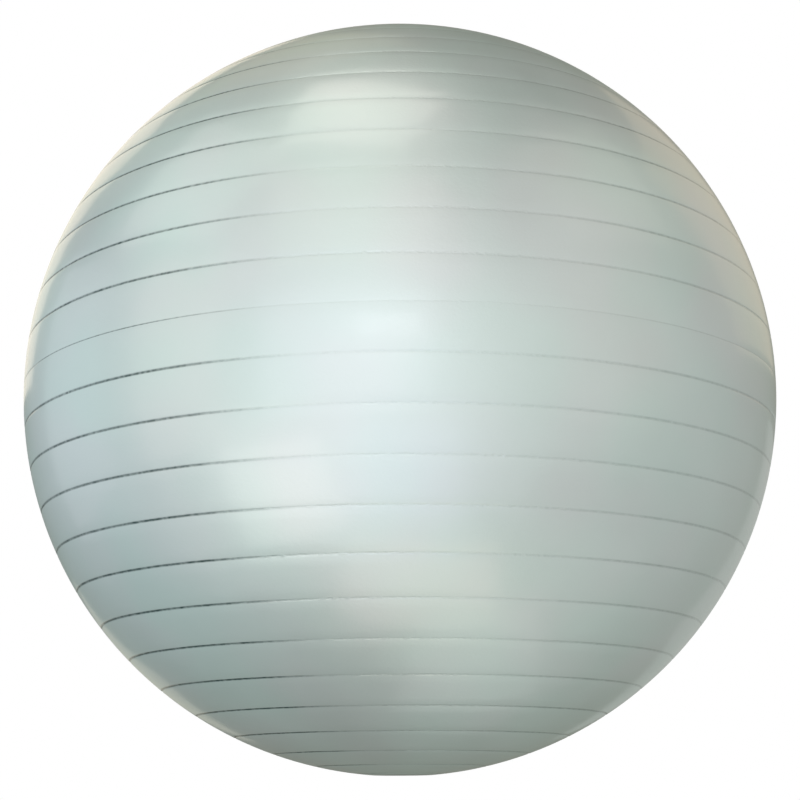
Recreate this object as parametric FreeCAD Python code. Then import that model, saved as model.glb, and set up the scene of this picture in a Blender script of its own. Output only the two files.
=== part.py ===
"""Inflatable exercise ball, 650 mm: grooved moulded skin, valve seat and push-in air plug.

Frame: +Z up along the axis of the rings, through the valve. The origin is the centre of the
small flat patch that the inflated ball rests on. Lengths are in millimetres.
"""
import FreeCAD, Part

import math
import os

# ---- skin ----
BALL_RADIUS = 325.0          # outside of the inflated skin
WALL = 0.95                  # skin thickness
PATCH_RADIUS = 25.0          # flat patch where the ball rests on a hard floor
GROOVES_PER_HALF = 13        # rings each side of the equator
GROOVE_WIDTH = 1.9
GROOVE_DEPTH = 0.35
PARTING_WIDTH = 0.9          # witness line of the two mould halves, at the equator
PARTING_DEPTH = 0.2
HOLE_RADIUS = 12.0           # hole in the skin at the top pole
HOLE_LIP = 0.4               # rounding of the hole's edge

# ---- valve seat ----
RECESS_RADIUS = 11.4         # well for the plug's head
RECESS_DEPTH = 1.9           # below the top of the ball
RECESS_CORNER = 0.3
FLANGE_RADIUS = 19.0         # bonded under the skin
FLANGE_RIM = 1.2             # thickness at its edge
FLANGE_ROOT = 1.9            # thickness at the neck
FLANGE_EDGE = 0.3
NECK_RADIUS_TOP = 7.6
NECK_RADIUS_TIP = 6.8
NECK_FILLET = 1.5
NECK_ROUNDING = 0.8
NECK_END_DEPTH = 17.0        # below the top of the ball
BORE_RADIUS = 4.5
BORE_LEAD_IN = 0.4           # rounding of the bore's mouth
BORE_EXIT = 0.2

# ---- air plug ----
HEAD_RADIUS = 9.8
HEAD_TOP_DEPTH = 0.1         # below the top of the ball
HEAD_BEVEL_WIDTH = 1.4
HEAD_BEVEL_DROP = 0.45
HEAD_EDGE = 0.35             # rounding of the head's edges
HEAD_GAP = 0.05              # between the head and the floor of the well
HEAD_RING_INNER = 5.2        # shallow moulded ring in the head's top
HEAD_RING_OUTER = 6.8
HEAD_RING_DEPTH = 0.3
HEAD_RING_DRAFT = 0.25
GATE_RADIUS = 1.1            # dimple left by the moulding gate, in the middle of the head
GATE_DEPTH = 0.2
FINE_EDGE = 0.12             # rounding of the small moulded edges
STEM_CLEARANCE = 0.05        # radial, in the bore
STEM_LENGTH = 18.5           # below the head
STEM_PLAIN_LENGTH = 4.0      # straight part under the head
STEM_ROOT_FILLET = 0.3
BARB_COUNT = 3
BARB_PITCH = 3.6
BARB_STEP = 0.5
TIP_RADIUS = 2.9
TIP_ROUNDING = 0.7
CORE_RADIUS = 1.8            # blind core moulded up from the plug's tip
CORE_LENGTH = 13.0
CORE_END_ROUNDING = 0.6

# ---- worked out from them ----
CENTRE_Z = math.sqrt(BALL_RADIUS ** 2 - PATCH_RADIUS ** 2)
TOP_Z = CENTRE_Z + BALL_RADIUS
INNER_RADIUS = BALL_RADIUS - WALL
RING_PITCH = math.pi / (2 * (GROOVES_PER_HALF + 1))


def point(radius, z):
    """A point of a turned profile, in the XZ half plane."""
    return FreeCAD.Vector(radius, 0, z)


def line(start, end):
    return Part.LineSegment(start, end).toShape()


def arc(start, middle, end):
    return Part.Arc(start, middle, end).toShape()


def on_ball(radius, latitude):
    """The point at a latitude, in radians, on a sphere about the ball's centre."""
    return point(radius * math.cos(latitude), CENTRE_Z + radius * math.sin(latitude))


def ball_arc(radius, start_latitude, end_latitude):
    """A stretch of such a sphere's meridian."""
    middle = (start_latitude + end_latitude) / 2
    return arc(on_ball(radius, start_latitude), on_ball(radius, middle), on_ball(radius, end_latitude))


def latitude_at(sphere_radius, radius):
    """Latitude where the upper half of a sphere is that far from the axis."""
    return math.acos(radius / sphere_radius)


def outline(corners):
    """Straight edges through corners given as (radius, height, rounding), with tangent arcs."""
    edges = []
    start = point(*corners[0][:2])
    for before, here, after in zip(corners, corners[1:], corners[2:]):
        corner = point(*here[:2])
        back = (point(*before[:2]) - corner).normalize()
        ahead = (point(*after[:2]) - corner).normalize()
        half_angle = back.getAngle(ahead) / 2
        trim = here[2] / math.tan(half_angle)
        arc_start = corner + back * trim
        edges.append(line(start, arc_start))
        start = corner
        if here[2] > 0:
            inward = (back + ahead).normalize()
            crest = corner + inward * (here[2] / math.sin(half_angle) - here[2])
            start = corner + ahead * trim
            edges.append(arc(arc_start, crest, start))
    edges.append(line(start, point(*corners[-1][:2])))
    return edges


def turned(edges):
    """The solid turned from a profile's edges about the ball's vertical axis."""
    face = Part.Face(Part.Wire(Part.sortEdges(edges)[0]))
    return face.revolve(FreeCAD.Vector(0, 0, 0), FreeCAD.Vector(0, 0, 1), 360)


def rings():
    """Latitude, width and depth of each ring, from the bottom up. The equator's is the parting line."""
    for step in range(-GROOVES_PER_HALF, GROOVES_PER_HALF + 1):
        if step == 0:
            yield 0.0, PARTING_WIDTH, PARTING_DEPTH
        else:
            yield step * RING_PITCH, GROOVE_WIDTH, GROOVE_DEPTH


def grooved_meridian(first_latitude, last_latitude):
    """The outside of the skin, from the patch up to the hole, with a V groove at each ring."""
    edges = []
    latitude = first_latitude
    for ring_latitude, width, depth in rings():
        half = width / 2 / BALL_RADIUS
        bottom = on_ball(BALL_RADIUS - depth, ring_latitude)
        edges.append(ball_arc(BALL_RADIUS, latitude, ring_latitude - half))
        edges.append(line(on_ball(BALL_RADIUS, ring_latitude - half), bottom))
        edges.append(line(bottom, on_ball(BALL_RADIUS, ring_latitude + half)))
        latitude = ring_latitude + half
    edges.append(ball_arc(BALL_RADIUS, latitude, last_latitude))
    return edges


def smooth_meridian(first_latitude, last_latitude):
    """The inside of the skin. It is cut at each ring, so that its facets match the outside's."""
    cuts = [first_latitude] + [latitude for latitude, _, _ in rings()] + [last_latitude]
    return [ball_arc(INNER_RADIUS, low, high) for low, high in zip(cuts, cuts[1:])]


def ball_shell():
    """The one-piece skin: grooved outside, smooth inside, flat where it rests, open at the top pole."""
    lip_centre = HOLE_RADIUS + HOLE_LIP
    outer_first = -math.acos(PATCH_RADIUS / BALL_RADIUS)
    outer_last = latitude_at(BALL_RADIUS, lip_centre)
    lip_top = on_ball(BALL_RADIUS, outer_last)
    lip_side = point(HOLE_RADIUS, lip_top.z - HOLE_LIP)
    lip_crest = point(lip_centre - HOLE_LIP * math.sqrt(0.5), lip_top.z - HOLE_LIP * (1 - math.sqrt(0.5)))
    inner_first = -math.asin((CENTRE_Z - WALL) / INNER_RADIUS)
    inner_last = latitude_at(INNER_RADIUS, HOLE_RADIUS)

    edges = [line(point(0, 0), point(PATCH_RADIUS, 0))]
    edges += grooved_meridian(outer_first, outer_last)
    edges.append(arc(lip_top, lip_crest, lip_side))
    edges.append(line(lip_side, on_ball(INNER_RADIUS, inner_last)))
    edges += smooth_meridian(inner_first, inner_last)
    edges.append(line(on_ball(INNER_RADIUS, inner_first), point(0, WALL)))
    edges.append(line(point(0, WALL), point(0, 0)))
    return turned(edges)


def valve_seat():
    """The moulded-in insert: a flange bonded under the skin, a well for the head, and a bored neck."""
    well = latitude_at(INNER_RADIUS, RECESS_RADIUS)
    rim = latitude_at(INNER_RADIUS, FLANGE_RADIUS)
    floor_z = TOP_Z - RECESS_DEPTH
    end_z = TOP_Z - NECK_END_DEPTH
    rim_z = on_ball(INNER_RADIUS, rim).z

    edges = outline([
        (RECESS_RADIUS, on_ball(INNER_RADIUS, well).z, 0),
        (RECESS_RADIUS, floor_z, RECESS_CORNER),
        (BORE_RADIUS, floor_z, BORE_LEAD_IN),
        (BORE_RADIUS, end_z, BORE_EXIT),
        (NECK_RADIUS_TIP, end_z, NECK_ROUNDING),
        (NECK_RADIUS_TOP, floor_z - FLANGE_ROOT, NECK_FILLET),
        (FLANGE_RADIUS, rim_z - FLANGE_RIM, FLANGE_EDGE),
        (FLANGE_RADIUS, rim_z, 0),
    ])
    edges.append(ball_arc(INNER_RADIUS, rim, well))
    return turned(edges)


def barbs(start_z, outer):
    """Saw-tooth corners of the barbs, downwards: each one steps out, then tapers in to the tip."""
    corners = [(outer - BARB_STEP, start_z, FINE_EDGE)]
    for index in range(BARB_COUNT):
        top = start_z - index * BARB_PITCH
        corners.append((outer, top - BARB_STEP, FINE_EDGE))
        corners.append((outer - BARB_STEP, top - BARB_PITCH, FINE_EDGE))
    return corners


def air_plug():
    """The push-in plug: a thin flat head on a barbed stem with a blind core."""
    top_z = TOP_Z - HEAD_TOP_DEPTH
    under_z = TOP_Z - RECESS_DEPTH + HEAD_GAP
    stem = BORE_RADIUS - STEM_CLEARANCE
    barbs_z = under_z - STEM_PLAIN_LENGTH
    tip_z = under_z - STEM_LENGTH

    corners = [
        (0, top_z - GATE_DEPTH, 0),
        (GATE_RADIUS - GATE_DEPTH, top_z - GATE_DEPTH, FINE_EDGE),
        (GATE_RADIUS, top_z, FINE_EDGE),
        (HEAD_RING_INNER, top_z, FINE_EDGE),
        (HEAD_RING_INNER + HEAD_RING_DRAFT, top_z - HEAD_RING_DEPTH, FINE_EDGE),
        (HEAD_RING_OUTER - HEAD_RING_DRAFT, top_z - HEAD_RING_DEPTH, FINE_EDGE),
        (HEAD_RING_OUTER, top_z, FINE_EDGE),
        (HEAD_RADIUS - HEAD_BEVEL_WIDTH, top_z, HEAD_EDGE),
        (HEAD_RADIUS, top_z - HEAD_BEVEL_DROP, HEAD_EDGE),
        (HEAD_RADIUS, under_z, HEAD_EDGE),
        (stem, under_z, STEM_ROOT_FILLET),
        (stem, barbs_z, FINE_EDGE),
    ]
    corners += barbs(barbs_z, stem)
    corners += [
        (TIP_RADIUS, tip_z, TIP_ROUNDING),
        (CORE_RADIUS, tip_z, FINE_EDGE),
        (CORE_RADIUS, tip_z + CORE_LENGTH, CORE_END_ROUNDING),
        (0, tip_z + CORE_LENGTH, 0),
    ]
    edges = outline(corners)
    edges.append(line(point(0, tip_z + CORE_LENGTH), point(0, top_z - GATE_DEPTH)))
    return turned(edges)


def main():
    os.makedirs("parts", exist_ok=True)
    nodes = {
        "ball_shell": ball_shell(),
        "valve_seat": valve_seat(),
        "air_plug": air_plug(),
    }
    for name, shape in nodes.items():
        shape.exportStep(f"parts/{name}.step")
        box = shape.BoundBox
        print(name, shape.isValid(), len(shape.Solids), f"{shape.Volume / 1000:.2f} cm3",
              f"z {box.ZMin:.3f} to {box.ZMax:.3f}")


main()
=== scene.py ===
"""Exercise ball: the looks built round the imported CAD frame. Lengths are in metres."""

import math

import bpy
import numpy as np
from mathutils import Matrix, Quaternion, Vector

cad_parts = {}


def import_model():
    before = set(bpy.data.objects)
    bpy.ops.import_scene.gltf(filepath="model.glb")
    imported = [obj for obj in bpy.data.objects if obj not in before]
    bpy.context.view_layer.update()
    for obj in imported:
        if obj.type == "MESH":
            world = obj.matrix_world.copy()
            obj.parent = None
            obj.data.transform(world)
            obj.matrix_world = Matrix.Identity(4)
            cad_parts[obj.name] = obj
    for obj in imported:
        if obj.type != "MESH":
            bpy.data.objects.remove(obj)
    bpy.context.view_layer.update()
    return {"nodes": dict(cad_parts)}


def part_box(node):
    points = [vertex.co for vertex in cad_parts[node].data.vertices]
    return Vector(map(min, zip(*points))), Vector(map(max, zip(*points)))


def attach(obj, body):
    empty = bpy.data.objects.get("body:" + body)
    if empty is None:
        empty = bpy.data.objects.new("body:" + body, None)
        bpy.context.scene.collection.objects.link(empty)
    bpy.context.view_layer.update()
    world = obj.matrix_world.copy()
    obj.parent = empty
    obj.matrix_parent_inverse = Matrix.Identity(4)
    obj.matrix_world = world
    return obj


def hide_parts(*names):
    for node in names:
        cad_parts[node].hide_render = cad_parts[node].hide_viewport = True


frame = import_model()

MM = 0.001
shell_low, shell_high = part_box("ball_shell")

# ---- the skin: the CAD's sizes, except where a comment says otherwise ----
BALL_RADIUS = (shell_high.x - shell_low.x) / 2
PATCH_RADIUS = 25 * MM       # flat patch under the ball
CENTRE = Vector((0, 0, math.sqrt(BALL_RADIUS ** 2 - PATCH_RADIUS ** 2)))
WALL = 0.95 * MM
GROOVES_PER_HALF = 13
RING_PITCH = math.pi / (2 * (GROOVES_PER_HALF + 1))
GROOVE_WIDTH = 1.9 * MM
GROOVE_DEPTH = 0.35 * MM
PARTING_WIDTH = 0.9 * MM
PARTING_DEPTH = 0.12 * MM    # 0.2 in the CAD, which would look too strong
HOLE_RADIUS = 12 * MM
HOLE_LIP = 0.6 * MM          # soft rounding of the hole's edge, 0.4 in the CAD
SEAT_RADIUS = 19 * MM        # the valve seat's flange, whose edge shows as a faint ring in the skin
SEAT_WIDTH = 1.6 * MM        # of that ring, which the CAD doesn't have
SEAT_DEPTH = 0.12 * MM

# ---- how the skin's mesh is made ----
COLUMNS = 192                # facets round the ball
# across the groove in half widths, and the share of its depth there
GROOVE_SECTION = [(-1.7, 0.0), (-1.25, 0.13), (-0.9, 0.55), (-0.5, 0.93), (0.0, 1.0),
                  (0.5, 0.93), (0.9, 0.55), (1.25, 0.13), (1.7, 0.0)]
BAND_STEPS = 3               # rows between two grooves
WANDER = 0.12 * MM           # how far a groove strays from its circle
DEPTH_SPREAD = 0.15          # share by which its depth varies
PARTING_SPREAD = 0.6         # the same for the parting line
PATCH_ROWS = (0.3, 0.7, 0.93)         # rows of the flat patch, in shares of its radius
LIP_DEGREES = (115, 140, 165, 180)    # rows of the hole's rounded edge, as angles round its section
INNER_ROWS = 56              # rows of the smooth inside

# ---- painted shade in the grooves: a dark colour that stands in for their shadow ----
GROOVE_PAINTED_SHADE = 0.9            # how much darker the painted shade makes a groove's bottom on the shaded side
MIDDLE_SHADE_CUT = 0.15                # how much less painted shade the middle rings get
# painted shade in the parting line
PARTING_PAINTED_SHADE = 0.6
SEAT_PAINTED_SHADE = 0.2              # painted shade in the ring round the valve
LIT_SIDE_SHADE = 0.05                 # painted shade on the lit side, as a share of the shaded side's
POLE_SHADE = 0.2              # how much more painted shade there is near the poles
SHADE_SIDE = 24               # degrees to the left of the front where the shaded side begins
SHADE_FADE = 12               # degrees over which it fades, each way
SHADE_RIGHT = 0.24            # painted shade on the right side
SHADE_HIGH_RIGHT = 0.25       # how much more of it there is above the equator
SHADE_BACK = 0.35             # how much more at the back
SHADE_SPREAD = 0.25           # share by which it varies along a groove
RIGHT_SPAN = (8, 45)         # degrees to the right of the front over which the right side's comes in
BACK_SPAN = (90, 160)        # degrees to the right over which the back's comes in
LEFT_BACK_SPAN = (100, 180)  # degrees to the left over which the left side's sinks to the back's
HIGH_SPAN = (0, 0.6)         # latitudes, in radians, over which the upper right's comes in
POLE_SPAN = (0.75, 1.1)      # latitudes over which the poles' comes in
# the colour of the painted shade
PAINTED_SHADE_COLOUR = (0.025, 0.055, 0.05)
RANDOM = np.random.default_rng(65)


def smooth_noise(turns, waves):
    """A smooth random curve round the ball, about -1 to 1, from a few sines."""
    total = np.zeros_like(turns)
    for count in waves:
        phase = RANDOM.uniform(0, 2 * math.pi)
        total += np.sin(count * turns + phase) * RANDOM.uniform(0.5, 1.0)
    return total / len(waves)


def smooth_step(value, start, end):
    """0 before start and 1 after end, with a smooth rise between them."""
    share = np.clip((value - start) / (end - start), 0, 1)
    return share * share * (3 - 2 * share)


def painted_shade_round(turns, middle):
    """Painted shade of a groove round the ball, 0 to 1: most on the left, some on the right and at the
    back.
    """
    side = np.degrees((turns + math.pi / 2 + math.pi) % (2 * math.pi) - math.pi)
    on_right = SHADE_RIGHT + SHADE_HIGH_RIGHT * smooth_step(middle, *HIGH_SPAN)
    right = smooth_step(side, *RIGHT_SPAN) * on_right + smooth_step(side, *BACK_SPAN) * SHADE_BACK
    left = smooth_step(-side, SHADE_SIDE - SHADE_FADE, SHADE_SIDE + SHADE_FADE)
    left = left * (1 - smooth_step(-side, *LEFT_BACK_SPAN) * (1 - on_right - SHADE_BACK))
    least_shade = LIT_SIDE_SHADE + POLE_SHADE * smooth_step(abs(middle), *POLE_SPAN)
    return least_shade + (1 - least_shade) * np.maximum(left, right)


def ring_rows(middle, width, depth, spread, painted_shade, turns):
    """The rows of one groove, from the bottom up: latitude, depth, how much of a groove, and painted shade.
    """
    stray = WANDER * smooth_noise(turns, (2, 3, 5, 8, 13)) / BALL_RADIUS
    deeper = 1 + spread * smooth_noise(turns, (3, 7, 12, 19, 27))
    patchy = 1 + SHADE_SPREAD * smooth_noise(turns, (4, 9, 17, 31, 47))
    rows = []
    for across, share in GROOVE_SECTION:
        latitude = middle + across * width / 2 / BALL_RADIUS + stray
        groove = share * depth / GROOVE_DEPTH
        shaded = painted_shade * share * patchy * painted_shade_round(turns, middle)
        rows.append((latitude, depth * share * deeper, groove, shaded))
    return rows


def rings():
    """Latitude, width, depth, spread of depth and painted shade of each ring, from the bottom up."""
    for step in range(-GROOVES_PER_HALF, GROOVES_PER_HALF + 1):
        middle = step * RING_PITCH
        if step == 0:
            yield middle, PARTING_WIDTH, PARTING_DEPTH, PARTING_SPREAD, PARTING_PAINTED_SHADE
        else:
            middle_cut = MIDDLE_SHADE_CUT * max(0, math.cos(1.5 * middle)) ** 2
            yield middle, GROOVE_WIDTH, GROOVE_DEPTH, DEPTH_SPREAD, GROOVE_PAINTED_SHADE * (1 - middle_cut)
    yield math.acos(SEAT_RADIUS / BALL_RADIUS), SEAT_WIDTH, SEAT_DEPTH, DEPTH_SPREAD, SEAT_PAINTED_SHADE


def lathe_row(latitude, radius, turns, groove=0, painted_shade=0):
    """One row round the ball, at a latitude and a distance from its centre: x, y, z, groove and painted
    shade.
    """
    ones = np.ones_like(turns)
    flat = radius * np.cos(latitude) * ones
    z = CENTRE.z + radius * np.sin(latitude) * ones
    return np.stack([flat * np.cos(turns), flat * np.sin(turns), z, groove * ones, painted_shade * ones], 1)


def level_row(radius, z, turns):
    """One level row, at a distance from the axis."""
    ones = np.ones_like(turns)
    return np.stack([radius * np.cos(turns), radius * np.sin(turns), z * ones, 0 * ones, 0 * ones], 1)


def outer_rows(turns):
    """Rows of the skin's outside, from the patch's edge to the hole's lip."""
    last = -math.acos(PATCH_RADIUS / BALL_RADIUS)
    rows = [lathe_row(last, BALL_RADIUS, turns)]
    for ring in rings():
        middle, width = ring[:2]
        reach = GROOVE_SECTION[-1][0] * width / 2 / BALL_RADIUS
        for share in np.linspace(0, 1, BAND_STEPS + 2)[1:-1]:
            rows.append(lathe_row(last + (middle - reach - last) * share, BALL_RADIUS, turns))
        for latitude, depth, groove, painted_shade in ring_rows(*ring, turns):
            rows.append(lathe_row(latitude, BALL_RADIUS - depth, turns, groove, painted_shade))
        last = middle + reach
    top = math.acos((HOLE_RADIUS + HOLE_LIP) / BALL_RADIUS)
    for share in np.linspace(0, 1, BAND_STEPS + 2)[1:]:
        rows.append(lathe_row(last + (top - last) * share, BALL_RADIUS, turns))
    return rows


def lip_rows(turns):
    """Rows that round the hole's edge over, from the outside down to the inside."""
    centre_radius = HOLE_RADIUS + HOLE_LIP
    centre_z = CENTRE.z + math.sqrt(BALL_RADIUS ** 2 - centre_radius ** 2) - HOLE_LIP
    rows = []
    for degrees in LIP_DEGREES:
        angle = math.radians(degrees)
        rows.append(level_row(centre_radius + HOLE_LIP * math.cos(angle),
                              centre_z + HOLE_LIP * math.sin(angle), turns))
    return rows


def inner_rows(turns):
    """Rows of the skin's inside, from the hole down to the patch's edge."""
    inner = BALL_RADIUS - WALL
    top = math.acos(HOLE_RADIUS / inner)
    bottom = -math.asin((CENTRE.z - WALL) / inner)
    return [lathe_row(latitude, inner, turns) for latitude in np.linspace(top, bottom, INNER_ROWS)]


def closed_lathe(name, rows, low_z, high_z):
    """A closed mesh from rows of points, with both ends drawn in to points on the axis."""
    count = len(rows[0])
    points = np.concatenate(rows + [np.array([[0, 0, low_z, 0, 0], [0, 0, high_z, 0, 0]])])
    first_pole = len(rows) * count
    faces = []
    for row in range(len(rows) - 1):
        for column in range(count):
            after = (column + 1) % count
            faces.append((row * count + column, row * count + after,
                          (row + 1) * count + after, (row + 1) * count + column))
    last = (len(rows) - 1) * count
    for column in range(count):
        after = (column + 1) % count
        faces.append((first_pole, after, column))
        faces.append((first_pole + 1, last + column, last + after))
    mesh = bpy.data.meshes.new(name)
    mesh.from_pydata(points[:, :3].tolist(), [], faces)
    mesh.polygons.foreach_set("use_smooth", [True] * len(mesh.polygons))
    for place, label in ((3, "groove"), (4, "painted_shade")):
        made = mesh.attributes.new(label, "FLOAT", "POINT")
        made.data.foreach_set("value", points[:, place].astype(np.float32))
    mesh.update()
    piece = bpy.data.objects.new(name, mesh)
    bpy.context.scene.collection.objects.link(piece)
    return piece


def skin():
    """The one-piece skin: grooved outside, smooth inside, flat where it rests, open at the valve."""
    turns = np.linspace(0, 2 * math.pi, COLUMNS, endpoint=False)
    rows = [level_row(PATCH_RADIUS * share, 0, turns) for share in PATCH_ROWS]
    rows += outer_rows(turns)
    rows += lip_rows(turns)
    rows += inner_rows(turns)
    rows.append(level_row(PATCH_RADIUS * 0.5, WALL, turns))
    return closed_lathe("skin", rows, 0, WALL)


# ---- materials ----

def new_material(name):
    """A material with nodes, and its nodes, links and main shader."""
    material = bpy.data.materials.new(name)
    material.use_nodes = True
    nodes = material.node_tree.nodes
    return material, nodes, material.node_tree.links, nodes["Principled BSDF"]


def noise(nodes, links, coordinates, scale, detail):
    """Soft random noise, 0 to 1, in the object's own coordinates."""
    node = nodes.new("ShaderNodeTexNoise")
    node.inputs["Scale"].default_value = scale
    node.inputs["Detail"].default_value = detail
    links.new(coordinates.outputs["Object"], node.inputs["Vector"])
    return node.outputs["Fac"]


def ramp(nodes, links, source, stops):
    """A colour ramp with (position, colour) stops."""
    node = nodes.new("ShaderNodeValToRGB")
    elements = node.color_ramp.elements
    while len(elements) < len(stops):
        elements.new(0.5)
    for element, (position, colour) in zip(elements, stops):
        element.position = position
        element.color = (*colour, 1)
    links.new(source, node.inputs["Fac"])
    return node.outputs["Color"]


def span(nodes, links, source, low, high):
    """Maps 0..1 to low..high."""
    node = nodes.new("ShaderNodeMapRange")
    node.inputs["To Min"].default_value = low
    node.inputs["To Max"].default_value = high
    links.new(source, node.inputs["Value"])
    return node.outputs["Result"]


def attribute(nodes, name):
    """A number that the mesh carries at each point."""
    node = nodes.new("ShaderNodeAttribute")
    node.attribute_name = name
    return node.outputs["Fac"]


def calculate(nodes, links, operation, *values):
    """A math node; each value is a number or another node's output."""
    node = nodes.new("ShaderNodeMath")
    node.operation = operation
    for place, value in enumerate(values):
        if isinstance(value, (int, float)):
            node.inputs[place].default_value = value
        else:
            links.new(value, node.inputs[place])
    return node.outputs[0]


def blend(nodes, links, share, first, second):
    """The first colour where share is 0 and the second where it is 1."""
    node = nodes.new("ShaderNodeMix")
    node.data_type = "RGBA"
    links.new(share, node.inputs[0])
    links.new(first, node.inputs[6])
    node.inputs[7].default_value = (*second, 1)
    return node.outputs[2]


def multiply(nodes, links, first, second):
    """Two colours multiplied."""
    node = nodes.new("ShaderNodeVectorMath")
    node.operation = "MULTIPLY"
    links.new(first, node.inputs[0])
    links.new(second, node.inputs[1])
    return node.outputs[0]


def bump(nodes, links, height, strength, distance, under=None):
    """A bump from a height, on top of the bump under it."""
    node = nodes.new("ShaderNodeBump")
    node.inputs["Strength"].default_value = strength
    node.inputs["Distance"].default_value = distance
    links.new(height, node.inputs["Height"])
    if under is not None:
        links.new(under, node.inputs["Normal"])
    return node.outputs["Normal"]


def skin_material():
    """Silver-grey PVC with a satin, slightly pearly face, and painted shade darkening its grooves."""
    material, nodes, links, shader = new_material("silver_pvc")
    place = nodes.new("ShaderNodeTexCoord")
    cloud = ramp(nodes, links, noise(nodes, links, place, scale=7, detail=3),
                 [(0.3, (0.478, 0.568, 0.548)), (0.7, (0.507, 0.602, 0.582))])
    pearl = ramp(nodes, links, noise(nodes, links, place, scale=11, detail=1),
                 [(0.35, (1.02, 0.985, 1.0)), (0.65, (0.98, 1.01, 1.0))])
    speckle = span(nodes, links, noise(nodes, links, place, scale=260, detail=2), low=0.3, high=1.7)
    # painted shade in the grooves, made patchy by noise
    painted_shade = calculate(nodes, links, "MULTIPLY", attribute(nodes, "painted_shade"), speckle)
    colour = blend(nodes, links, painted_shade, multiply(nodes, links, cloud, pearl), PAINTED_SHADE_COLOUR)
    links.new(colour, shader.inputs["Base Color"])
    shader.inputs["Metallic"].default_value = 0.55
    dull = span(nodes, links, noise(nodes, links, place, scale=14, detail=6), low=0.40, high=0.54)
    links.new(dull, shader.inputs["Roughness"])
    shader.inputs["Coat Weight"].default_value = 0.5
    shader.inputs["Coat Roughness"].default_value = 0.14
    swell = noise(nodes, links, place, scale=9, detail=1)
    waves = bump(nodes, links, swell, strength=1.0, distance=1.5 * MM)
    groove = attribute(nodes, "groove")
    flecks = calculate(nodes, links, "MULTIPLY", noise(nodes, links, place, scale=250, detail=1), groove)
    rough = bump(nodes, links, flecks, strength=1.0, distance=0.5 * MM, under=waves)
    pores = noise(nodes, links, place, scale=420, detail=2)
    grain = bump(nodes, links, pores, strength=1.0, distance=0.08 * MM, under=rough)
    links.new(grain, shader.inputs["Normal"])
    return material


def plug_material():
    """Off-white polyethylene with a faint grain, and scuffs that dull its gloss."""
    material, nodes, links, shader = new_material("plug_plastic")
    place = nodes.new("ShaderNodeTexCoord")
    colour = ramp(nodes, links, noise(nodes, links, place, scale=120, detail=3),
                  [(0.3, (0.71, 0.72, 0.68)), (0.7, (0.78, 0.79, 0.76))])
    links.new(colour, shader.inputs["Base Color"])
    scuffs = span(nodes, links, noise(nodes, links, place, scale=300, detail=5), low=0.25, high=0.6)
    links.new(scuffs, shader.inputs["Roughness"])
    pores = noise(nodes, links, place, scale=1500, detail=2)
    grain = bump(nodes, links, pores, strength=0.1, distance=0.05 * MM)
    links.new(grain, shader.inputs["Normal"])
    return material


def seat_material():
    """Soft grey valve rubber, a little darker and duller than the skin."""
    material, nodes, links, shader = new_material("valve_rubber")
    place = nodes.new("ShaderNodeTexCoord")
    colour = ramp(nodes, links, noise(nodes, links, place, scale=150, detail=3),
                  [(0.3, (0.38, 0.43, 0.42)), (0.7, (0.45, 0.50, 0.49))])
    links.new(colour, shader.inputs["Base Color"])
    dull = span(nodes, links, noise(nodes, links, place, scale=250, detail=4), low=0.5, high=0.75)
    links.new(dull, shader.inputs["Roughness"])
    pores = noise(nodes, links, place, scale=1500, detail=2)
    grain = bump(nodes, links, pores, strength=0.15, distance=0.05 * MM)
    links.new(grain, shader.inputs["Normal"])
    return material


# ---- camera, light and floor ----
# The camera's angle, distance and roll come from a fit to the rings in the photo.
CAMERA_BELOW = math.radians(12.55)     # the camera looks from this far below the ball's equator
CAMERA_DISTANCE = 4.95                 # in ball radii, from the centre
CAMERA_ROLL = math.radians(-0.29)      # the photo's slight lean
FILL = 0.941                           # the ball's width as a share of the picture's
SENSOR = 36.0                          # its width, in millimetres
FLOOR_REACH = 12.0                     # half its width
FLOOR_PAINTED_LIGHT = 0.42                      # painted light: a glow of its own, dimmed into a painted shadow round the ball's foot
FLOOR_NEAR = 0.5                       # metres from the ball's axis where it begins to fade to white
FLOOR_FAR = 1.6                        # and where it is all white
LIGHT_DISTANCE = 1.8                   # of every soft box, from the ball's centre
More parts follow.
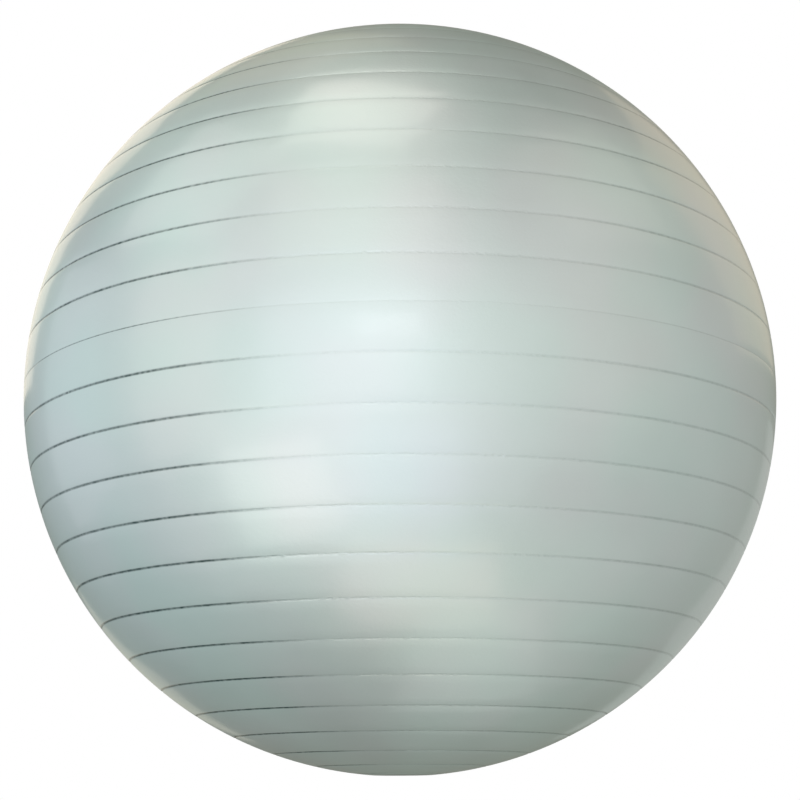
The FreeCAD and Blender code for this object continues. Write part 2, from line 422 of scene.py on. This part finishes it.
# The watts and tints of SOFT_BOXES and the colours of WALLS come from a least-squares fit of
# one-light renders to the photo's shading. They were rounded, and some were then changed.
# name, degrees to the right of the camera, degrees above level, width, height, watts, tint
SOFT_BOXES = [
    ("key", -14, 2, 1.5, 1.1, 4.8, (0.90, 0.84, 1.0)),
    ("spark", -3, 7, 0.5, 0.16, 0.7, (0.93, 0.92, 1.0)),
    ("key_low", 0, -32, 1.0, 0.9, 2.5, (0.72, 0.65, 1.0)),
    ("key_high", -14, 38, 1.3, 0.9, 3.4, (1.0, 0.90, 0.82)),
    ("overhead", -25, 72, 0.9, 0.8, 5.5, (1.0, 0.94, 0.85)),
    ("low_left", -37, -33, 0.9, 0.8, 4.5, (1.0, 0.91, 0.87)),
    ("low_front", 10, -62, 1.2, 0.8, 4.3, (1.0, 0.86, 0.74)),
    ("low_right", 75, -50, 1.2, 1.0, 1.1, (0.80, 1.0, 0.85)),
    ("under_right", 100, -75, 1.1, 0.9, 2.0, (1.0, 0.90, 0.92)),
    ("left", -62, 5, 0.9, 1.5, 3.4, (1.0, 0.83, 0.72)),
    ("high_left", -75, 46, 1.1, 0.9, 3.3, (0.98, 1.0, 0.92)),
    ("side_left", -105, 5, 1.0, 1.4, 2.3, (0.98, 0.91, 1.0)),
    ("right", 60, 8, 1.1, 1.3, 0.7, (1.0, 0.93, 0.60)),
    ("high_right", 70, 45, 1.1, 0.9, 1.9, (1.0, 0.89, 0.76)),
    ("card_left", -150, 28, 1.0, 1.1, 4.5, (1.0, 0.85, 0.68)),
    ("card_right", 128, 30, 1.2, 1.1, 2.2, (1.0, 0.79, 0.55)),
    ("rim_right", 150, -8, 0.9, 1.0, 1.0, (0.92, 1.0, 1.0)),
    ("rim_left", -156, -15, 0.5, 0.6, 0.5, (1.0, 0.93, 0.76)),
    ("rim_top", -150, 62, 0.8, 0.8, 0.7, (1.0, 0.93, 0.60)),
]
# axis, side and colour of the light of each wall, the ceiling and the floor of the room
WALLS = [
    ("X", -1, (0.41, 0.55, 0.61)),
    ("X", 1, (0.61, 0.60, 0.59)),
    ("Y", 1, (0.20, 0.19, 0.15)),
    ("Y", -1, (1.30, 1.22, 1.18)),
    ("Z", 1, (0.02, 0.01, 0.0)),
    ("Z", -1, (0.01, 0.05, 0.02)),
]


def camera():
    """A long lens that looks slightly up at the middle of the ball."""
    data = bpy.data.cameras.new("camera")
    view = bpy.data.objects.new("camera", data)
    bpy.context.scene.collection.objects.link(view)
    back = Vector((0, -math.cos(CAMERA_BELOW), -math.sin(CAMERA_BELOW)))
    view.location = CENTRE + back * CAMERA_DISTANCE * BALL_RADIUS
    aim = (-back).to_track_quat("-Z", "Y")
    roll = Quaternion((0, 0, 1), CAMERA_ROLL)
    view.rotation_mode = "QUATERNION"
    view.rotation_quaternion = aim @ roll
    spread = math.asin(1 / CAMERA_DISTANCE)          # half the angle that the ball fills
    data.sensor_width = SENSOR
    data.lens = SENSOR * FILL / (2 * math.tan(spread))
    data.clip_start = 0.01
    data.clip_end = 100
    bpy.context.scene.camera = view


def soft_box(name, side, height, width, tall, watts, tint):
    """A soft box that faces the ball, hidden from the camera but not from the ball's gloss."""
    data = bpy.data.lights.new(name, "AREA")
    data.shape = "RECTANGLE"
    data.size = width
    data.size_y = tall
    data.energy = watts
    data.color = tint
    box = bpy.data.objects.new(name, data)
    bpy.context.scene.collection.objects.link(box)
    turn = math.radians(side)
    rise = math.radians(height)
    out = Vector((math.sin(turn) * math.cos(rise), -math.cos(turn) * math.cos(rise), math.sin(rise)))
    box.location = CENTRE + out * LIGHT_DISTANCE
    box.rotation_mode = "QUATERNION"
    box.rotation_quaternion = out.to_track_quat("Z", "Y")
    box.visible_camera = False


def painted_shadow_share(nodes, links, reach):
    """Painted shadow: how much of an even light overhead would get past the ball to the floor, this far
    from its foot.
    """
    square = calculate(nodes, links, "MULTIPLY", reach, reach)
    far = calculate(nodes, links, "ADD", square, BALL_RADIUS ** 2)
    near = calculate(nodes, links, "DIVIDE", BALL_RADIUS ** 2, far)
    return calculate(nodes, links, "SUBTRACT", 1, calculate(nodes, links, "POWER", near, 1.5))


def floor():
    """A pale floor that fades to white, seen only from above: the camera looks up from just below it."""
    mesh = bpy.data.meshes.new("floor")
    corners = [(-FLOOR_REACH, -FLOOR_REACH, 0), (FLOOR_REACH, -FLOOR_REACH, 0),
               (FLOOR_REACH, FLOOR_REACH, 0), (-FLOOR_REACH, FLOOR_REACH, 0)]
    mesh.from_pydata(corners, [], [(0, 1, 2, 3)])
    made = bpy.data.objects.new("floor", mesh)
    bpy.context.scene.collection.objects.link(made)
    material, nodes, links, near = new_material("pale_floor")
    near.inputs["Base Color"].default_value = (0.5, 0.5, 0.5, 1)
    near.inputs["Roughness"].default_value = 0.8
    near.inputs["Specular IOR Level"].default_value = 0.1
    near.inputs["Emission Color"].default_value = (1, 1, 1, 1)
    far = nodes.new("ShaderNodeEmission")
    place = nodes.new("ShaderNodeTexCoord")
    reach = nodes.new("ShaderNodeVectorMath")
    reach.operation = "LENGTH"
    links.new(place.outputs["Object"], reach.inputs[0])
    # painted light on the floor, dimmed near the ball into a painted shadow
    painted_glow = calculate(nodes, links, "MULTIPLY", FLOOR_PAINTED_LIGHT, painted_shadow_share(nodes, links, reach.outputs["Value"]))
    links.new(painted_glow, near.inputs["Emission Strength"])
    fade = nodes.new("ShaderNodeMapRange")
    fade.interpolation_type = "SMOOTHSTEP"
    fade.inputs["From Min"].default_value = FLOOR_NEAR
    fade.inputs["From Max"].default_value = FLOOR_FAR
    links.new(reach.outputs["Value"], fade.inputs["Value"])
    lit = nodes.new("ShaderNodeMixShader")
    links.new(fade.outputs["Result"], lit.inputs["Fac"])
    links.new(near.outputs["BSDF"], lit.inputs[1])
    links.new(far.outputs["Emission"], lit.inputs[2])
    clear = nodes.new("ShaderNodeBsdfTransparent")
    side = nodes.new("ShaderNodeNewGeometry")
    mix = nodes.new("ShaderNodeMixShader")
    links.new(side.outputs["Backfacing"], mix.inputs["Fac"])
    links.new(lit.outputs["Shader"], mix.inputs[1])
    links.new(clear.outputs["BSDF"], mix.inputs[2])
    links.new(mix.outputs["Shader"], nodes["Material Output"].inputs["Surface"])
    mesh.materials.append(material)
    made.visible_diffuse = False
    made.visible_glossy = False
    made.visible_shadow = False


def wall_light(nodes, links, direction, axis, sign, colour):
    """The light of one wall of the room: full straight at it, none at right angles to it."""
    along = calculate(nodes, links, "MULTIPLY", direction.outputs[axis], sign)
    share = calculate(nodes, links, "POWER", calculate(nodes, links, "MAXIMUM", along, 0), 2)
    tinted = nodes.new("ShaderNodeVectorMath")
    tinted.operation = "SCALE"
    tinted.inputs[0].default_value = colour
    links.new(share, tinted.inputs["Scale"])
    return tinted.outputs[0]


def world():
    """Plain white behind the ball, and a dim room round it for light and reflections."""
    made = bpy.data.worlds.new("studio")
    made.use_nodes = True
    nodes, links = made.node_tree.nodes, made.node_tree.links
    place = nodes.new("ShaderNodeTexCoord")
    direction = nodes.new("ShaderNodeSeparateXYZ")
    links.new(place.outputs["Generated"], direction.inputs[0])
    room = None
    for axis, sign, colour in WALLS:
        wall = wall_light(nodes, links, direction, axis, sign, colour)
        if room is not None:
            both = nodes.new("ShaderNodeVectorMath")
            both.operation = "ADD"
            links.new(room, both.inputs[0])
            links.new(wall, both.inputs[1])
            wall = both.outputs[0]
        room = wall
    lit = nodes["Background"]
    links.new(room, lit.inputs["Color"])
    seen = nodes.new("ShaderNodeBackground")
    seen.inputs["Color"].default_value = (1, 1, 1, 1)
    path = nodes.new("ShaderNodeLightPath")
    mix = nodes.new("ShaderNodeMixShader")
    links.new(path.outputs["Is Camera Ray"], mix.inputs["Fac"])
    links.new(lit.outputs["Background"], mix.inputs[1])
    links.new(seen.outputs["Background"], mix.inputs[2])
    links.new(mix.outputs["Shader"], nodes["World Output"].inputs["Surface"])
    bpy.context.scene.world = made


ball = skin()
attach(ball, "ball")
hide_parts("ball_shell")
ball.data.materials.append(skin_material())
for node, material in (("valve_seat", seat_material()), ("air_plug", plug_material())):
    for slot in frame["nodes"][node].material_slots:
        slot.material = material

camera()
floor()
world()
for box in SOFT_BOXES:
    soft_box(*box)
bpy.context.scene.view_settings.view_transform = "Standard"
